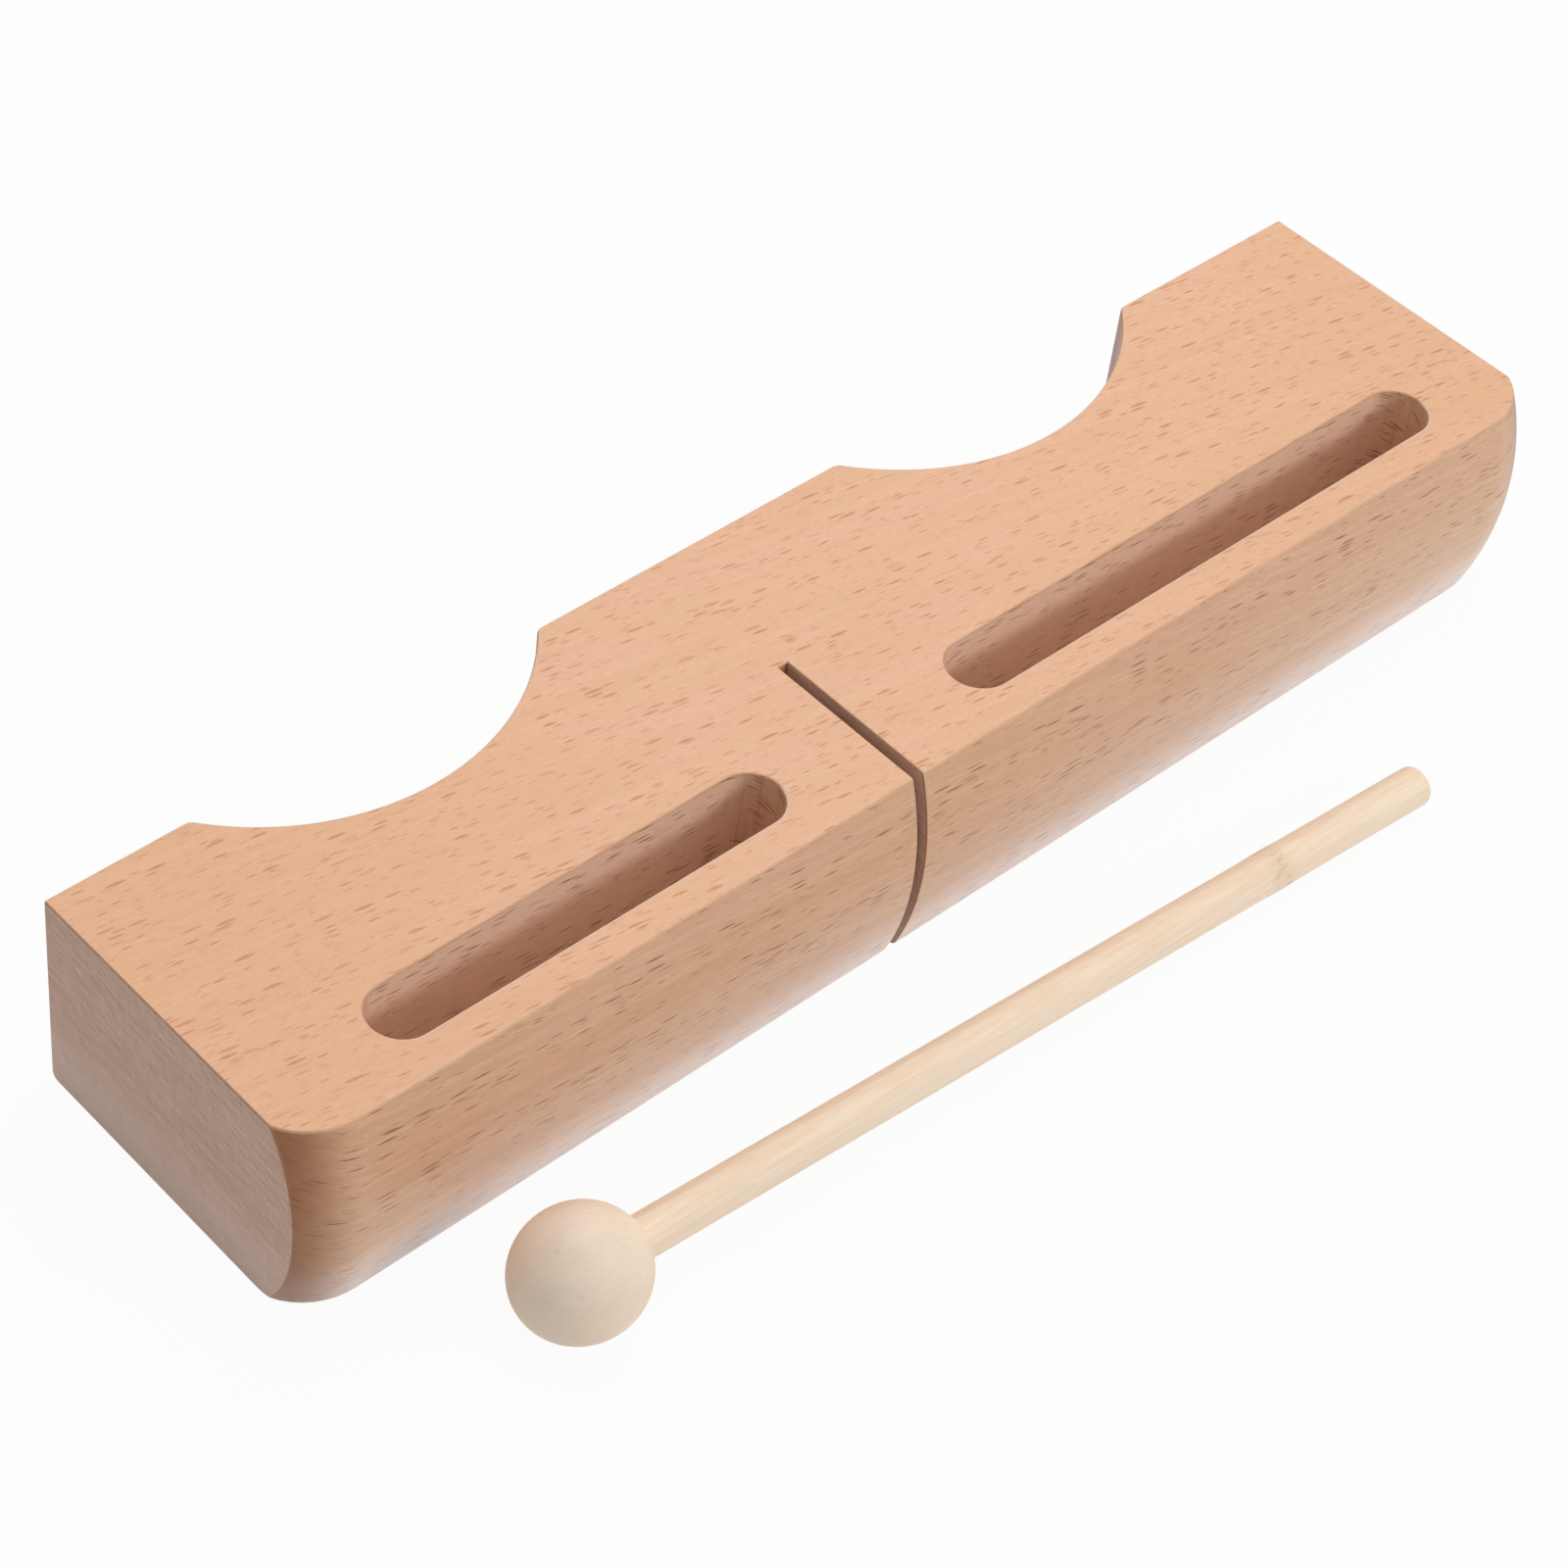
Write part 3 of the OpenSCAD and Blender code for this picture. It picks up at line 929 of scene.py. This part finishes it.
put_on(beech, block)

# %% [markdown]
# ## The mallet's two woods
#
# The ball is a pale, close-grained wood, turned and left matte. Its fibres are short and faint, and a few
# rays show as small scars. The stick has long pale streaks, and one ring where a twig grew. The mesh swells
# there by a tenth of a millimetre, and the finish finds the same place by its distance from the ball.

# %% The ball's wood: pale, turned and left matte
BALL_DULL, BALL_PALE = colour(244, 223, 200), colour(249, 229, 208)
BALL_LINE, BALL_SCAR = colour(206, 172, 142), colour(150, 112, 84)
BALL_PATCH_SIZE, BALL_LINE_SIZE = (7, 5, 5), (9.0, 0.5, 0.35)
BALL_LINE_SHARE, BALL_SCAR_SHARE = 0.10, 0.16
pale, tree, wood, spot = new_finish("turned_pale_wood")
plain = in_millimetres(tree, spot["Object"])
patch = ramped(tree, cloud(tree, stretched(tree, plain, *BALL_PATCH_SIZE), detail=3.0), 0.3, 0.7)
tone = mixed(tree, patch, BALL_DULL, BALL_PALE)
lines = use(tree, fibres, {"Place": plain, "Size": BALL_LINE_SIZE, "Detail": 3.0})
tone = mixed(tree, ramped(tree, lines, 0.2, -1.0, 0.0, BALL_LINE_SHARE), tone, BALL_LINE)
scars = use(tree, flecks, {"Place": plain, "Spacing": (5.0, 2.6, 0.5), "Plenty": 0.2, "Size": 0.24})
tone = mixed(tree, times(tree, scars, BALL_SCAR_SHARE), tone, BALL_SCAR)
tree.links.new(tone, wood.inputs["Base Color"])
wood.inputs["Roughness"].default_value = 0.62
wood.inputs["Specular IOR Level"].default_value = 0.35
raise_grain(tree, wood, lines, strength=0.25, depth=0.03)
put_on(pale, mallet_ball)

# %% The stick's wood: long pale streaks and one ring where a twig grew
STREAK, STICK_PALE, FINE_LINE = colour(250, 223, 193), colour(254, 234, 211), colour(218, 184, 150)
RING, RING_SCAR = colour(214, 190, 150), colour(170, 130, 92)
STREAK_SIZE, FINE_SIZE, SCAR_SIZE = (45.0, 0.9, 0.45), (22.0, 0.2, 0.12), (2.2, 0.8, 0.8)
RING_EDGE = (3.2, 0.8)
FINE_SHARE, RING_SHARE, SCAR_SHARE = 0.16, 0.15, 0.22
cane, tree, wood, spot = new_finish("pale_cane")
place = use(tree, board, {"Place": spot["Object"], "Tilt": in_degrees(0, 0, SWING)})
lines = use(tree, fibres, {"Place": place, "Size": STREAK_SIZE})
fine = use(tree, fibres, {"Place": place, "Size": FINE_SIZE})
tone = mixed(tree, ramped(tree, lines, -0.9, 0.9), STREAK, STICK_PALE)
tone = mixed(tree, ramped(tree, fine, 0.1, -0.9, 0.0, FINE_SHARE), tone, FINE_LINE)
plain = in_millimetres(tree, spot["Object"])
from_ball = add(tree, "ShaderNodeVectorMath", {0: plain, 1: BALL_PLACE}, operation="DISTANCE")
off_ring = maths(tree, "ABSOLUTE", maths(tree, "SUBTRACT", from_ball.outputs["Value"], TWIG_PLACE))
near_ring = ramped(tree, off_ring, *RING_EDGE)
wander = cloud(tree, stretched(tree, plain, *SCAR_SIZE), detail=3.0)
scar = times(tree, near_ring, ramped(tree, wander, 0.5, 0.62), SCAR_SHARE)
tone = mixed(tree, times(tree, near_ring, RING_SHARE), tone, RING)
tone = mixed(tree, scar, tone, RING_SCAR)
tree.links.new(tone, wood.inputs["Base Color"])
wood.inputs["Roughness"].default_value = 0.5
wood.inputs["Specular IOR Level"].default_value = 0.4
raise_grain(tree, wood, fine, strength=0.3, depth=0.04)
put_on(cane, mallet_stick)

# %% [markdown]
# ## The table and the backdrop
#
# Such a block is photographed on a white sweep that is lit until it is pure white. Here the sweep reads as
# white only to the camera and to reflections. Its own surface stays a pale floor that catches the shadow.

# %% Lay the floor
HALF_FLOOR = 6.0
PAPER = 0.92
WHITE_SHARE = 0.94


def seen_directly(tree):
    """1 for the camera, reflections and glass, and 0 for the light that falls on things."""
    ray = add(tree, "ShaderNodeLightPath").outputs
    seen = maths(tree, "MAXIMUM", ray["Is Camera Ray"], ray["Is Glossy Ray"])
    return maths(tree, "MAXIMUM", seen, ray["Is Transmission Ray"])


floor_shape = bmesh.new()
bmesh.ops.create_grid(floor_shape, x_segments=1, y_segments=1, size=HALF_FLOOR)
floor = add_piece(floor_shape, "floor")
sweep = bpy.data.materials.new("white_sweep")
sweep.use_nodes = True
tree = sweep.node_tree
tree.nodes.remove(tree.nodes["Principled BSDF"])
paper = add(tree, "ShaderNodeBsdfDiffuse", {"Color": (PAPER, PAPER, PAPER, 1)}).outputs[0]
glow = add(tree, "ShaderNodeEmission", {"Color": (1, 1, 1, 1), "Strength": 1.0}).outputs[0]
share = times(tree, seen_directly(tree), WHITE_SHARE)
both = add(tree, "ShaderNodeMixShader", {0: share, 1: paper, 2: glow}).outputs[0]
tree.links.new(both, tree.nodes["Material Output"].inputs["Surface"])
floor.data.materials.append(sweep)
print("floor: %.0f m square" % (2 * HALF_FLOOR))

# %% [markdown]
# ## Three soft boxes and a white room
#
# A large box hangs above, a second stands a little behind it, and a low strip shines from the front right.
# The strip reaches about 6 mm down into each slot, which draws the bright band along the top of the slot's
# wall. It is hidden from reflections, because from behind the block its mirror image would whiten the whole
# top. The room's own light is weak and even. Only the camera and reflections see the room as pure white.

# %% Fill the room with weak, even light
ROOM = 0.36
world = bpy.data.worlds.new("studio")
bpy.context.scene.world = world
world.use_nodes = True
tree = world.node_tree
sky = tree.nodes["Background"].inputs
sky["Color"].default_value = (1, 1, 1, 1)
tree.links.new(plus(tree, times(tree, seen_directly(tree), 1 - ROOM), ROOM), sky["Strength"])
bpy.context.scene.view_settings.view_transform = "Standard"
print("room light:", ROOM)

# %% Hang the soft boxes
AIM = Vector((0, 0, 0.02))


def soft_light(name, place, size, power):
    """A soft box that looks at the middle of the block."""
    data = bpy.data.lights.new(name, "AREA")
    data.shape = "RECTANGLE"
    data.size, data.size_y = size
    data.energy = power
    lamp = bpy.data.objects.new(name, data)
    lamp.location = place
    lamp.rotation_euler = (Vector(place) - AIM).to_track_quat("Z", "Y").to_euler()
    bpy.context.scene.collection.objects.link(lamp)
    print("%s: %.1f W" % (name, power))
    return lamp


soft_light("top_box", place=(0.1, 0, 1.1), size=(1.2, 1.2), power=3.5)
soft_light("back_box", place=(0.45, 0.6, 1.0), size=(0.9, 0.9), power=4.2)
strip = soft_light("front_strip", place=(0.55, -1.08, 0.62), size=(0.7, 0.3), power=5.3)
strip.visible_glossy = False

# %% [markdown]
# ## Tie the pieces to the frame
#
# Each piece rides on the body that it belongs to and stands for one of the exact solids, which stays behind
# for weight and contact.

# %% Ride and replace
for piece, body, node, finish in (
    (block, "block", "block", "beech"),
    (mallet_ball, "mallet", "mallet_head", "turned_ball"),
    (mallet_stick, "mallet", "mallet_stick", "stick"),
):
    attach(piece, body)
    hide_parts(node)
